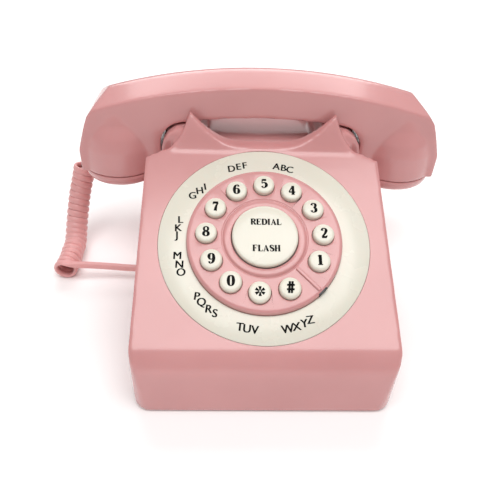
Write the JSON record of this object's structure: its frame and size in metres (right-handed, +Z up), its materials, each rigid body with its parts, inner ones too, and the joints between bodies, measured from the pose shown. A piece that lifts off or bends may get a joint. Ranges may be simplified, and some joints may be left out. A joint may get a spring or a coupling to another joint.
{
  "type": "desk telephone",
  "caption": "Compact wedge-shaped desk telephone with a round push-button dial plate, a rocking centre key, an arched handset lifting off a horned cradle, and a curly cord.",
  "frame": {"origin": "middle of the footprint, on the table", "axes": "+Z up, +Y to the back of the phone, +X to the right as the user faces the dial"},
  "size_m": [0.2493, 0.19, 0.131],
  "materials": {
    "pink_shell": "glossy moulded ABS",
    "cream_key": "glossy moulded plastic",
    "pink_cord": "satin PVC sleeve",
    "foot_rubber": "matt",
    "soft_silicone": "matt translucent silicone",
    "board_green": "solder-resist coated laminate",
    "bright_steel": "zinc-plated",
    "iron_weight": "bare cut plate",
    "dark_plastic": "matt moulded",
    "wire_sleeve": "PVC sleeve"
  },
  "bodies": {
    "base": {"body_shell": "pink_shell", "base_plate": "pink_shell", "rubber_feet": "foot_rubber", "base_screws": "bright_steel", "ballast_plate": "iron_weight", "dial_ring": "cream_key", "dial_disc": "pink_shell", "dial_screws": "bright_steel", "key_membrane": "soft_silicone", "keypad_board": "board_green", "ribbon_cable": "wire_sleeve", "rocker_pin": "bright_steel", "main_board": "board_green", "board_screws": "bright_steel", "board_parts": "dark_plastic", "ringer": "dark_plastic", "inner_wires": "wire_sleeve", "line_jack": "dark_plastic", "handset_port": "dark_plastic", "hook_spring": "bright_steel", "hook_switch": "dark_plastic", "curly_cord": "pink_cord", "cord_lead": "pink_cord", "body_plug": "pink_cord"},
    "key_1": {"key_1": "cream_key"},
    "key_2": {"key_2": "cream_key"},
    "key_3": {"key_3": "cream_key"},
    "key_4": {"key_4": "cream_key"},
    "key_5": {"key_5": "cream_key"},
    "key_6": {"key_6": "cream_key"},
    "key_7": {"key_7": "cream_key"},
    "key_8": {"key_8": "cream_key"},
    "key_9": {"key_9": "cream_key"},
    "key_0": {"key_0": "cream_key"},
    "key_star": {"key_star": "cream_key"},
    "key_hash": {"key_hash": "cream_key"},
    "rocker": {"rocker_key": "cream_key"},
    "handset": {"handset_shell": "pink_shell", "ear_cap": "pink_shell", "mouth_cap": "pink_shell", "receiver_capsule": "dark_plastic", "microphone": "bright_steel", "microphone_holder": "soft_silicone", "handset_weight": "iron_weight", "handset_wires": "wire_sleeve", "handset_jack": "dark_plastic", "handset_plug": "pink_cord"},
    "hook": {"plunger_left": "pink_shell", "plunger_right": "pink_shell", "hook_bar": "cream_key"}
  },
  "joints": [
    {"name": "key_1_press", "type": "slide", "parent": "base", "child": "key_1", "axis": [0, 0.4695, -0.8829], "range_m": [0, 0.0015], "stiffness_N_per_m": 250, "springref_m": -0.0012},
    {"name": "key_2_press", "type": "slide", "parent": "base", "child": "key_2", "axis": [0, 0.4695, -0.8829], "range_m": [0, 0.0015], "stiffness_N_per_m": 250, "springref_m": -0.0012},
    {"name": "key_3_press", "type": "slide", "parent": "base", "child": "key_3", "axis": [0, 0.4695, -0.8829], "range_m": [0, 0.0015], "stiffness_N_per_m": 250, "springref_m": -0.0012},
    {"name": "key_4_press", "type": "slide", "parent": "base", "child": "key_4", "axis": [0, 0.4695, -0.8829], "range_m": [0, 0.0015], "stiffness_N_per_m": 250, "springref_m": -0.0012},
    {"name": "key_5_press", "type": "slide", "parent": "base", "child": "key_5", "axis": [0, 0.4695, -0.8829], "range_m": [0, 0.0015], "stiffness_N_per_m": 250, "springref_m": -0.0012},
    {"name": "key_6_press", "type": "slide", "parent": "base", "child": "key_6", "axis": [0, 0.4695, -0.8829], "range_m": [0, 0.0015], "stiffness_N_per_m": 250, "springref_m": -0.0012},
    {"name": "key_7_press", "type": "slide", "parent": "base", "child": "key_7", "axis": [0, 0.4695, -0.8829], "range_m": [0, 0.0015], "stiffness_N_per_m": 250, "springref_m": -0.0012},
    {"name": "key_8_press", "type": "slide", "parent": "base", "child": "key_8", "axis": [0, 0.4695, -0.8829], "range_m": [0, 0.0015], "stiffness_N_per_m": 250, "springref_m": -0.0012},
    {"name": "key_9_press", "type": "slide", "parent": "base", "child": "key_9", "axis": [0, 0.4695, -0.8829], "range_m": [0, 0.0015], "stiffness_N_per_m": 250, "springref_m": -0.0012},
    {"name": "key_0_press", "type": "slide", "parent": "base", "child": "key_0", "axis": [0, 0.4695, -0.8829], "range_m": [0, 0.0015], "stiffness_N_per_m": 250, "springref_m": -0.0012},
    {"name": "key_star_press", "type": "slide", "parent": "base", "child": "key_star", "axis": [0, 0.4695, -0.8829], "range_m": [0, 0.0015], "stiffness_N_per_m": 250, "springref_m": -0.0012},
    {"name": "key_hash_press", "type": "slide", "parent": "base", "child": "key_hash", "axis": [0, 0.4695, -0.8829], "range_m": [0, 0.0015], "stiffness_N_per_m": 250, "springref_m": -0.0012},
    {"name": "rocker_tilt", "type": "hinge", "parent": "base", "child": "rocker", "pos_m": [0, -0.03284, 0.06545], "axis": [1, 0, 0], "range_deg": [-3, 3], "stiffness_Nm_per_rad": 0.15},
    {"name": "handset_lift", "type": "slide", "parent": "base", "child": "handset", "axis": [0, 0, 1], "range_m": [0, 0.12], "deforming": ["curly_cord"]},
    {"name": "hook_rise", "type": "slide", "parent": "base", "child": "hook", "axis": [0, 0, 1], "range_m": [0, 0.004], "deforming": ["hook_spring"]}
  ],
  "couplings": [
    {"joint": "hook_rise", "follows": "handset_lift", "ratio": 0.033333}
  ]
}
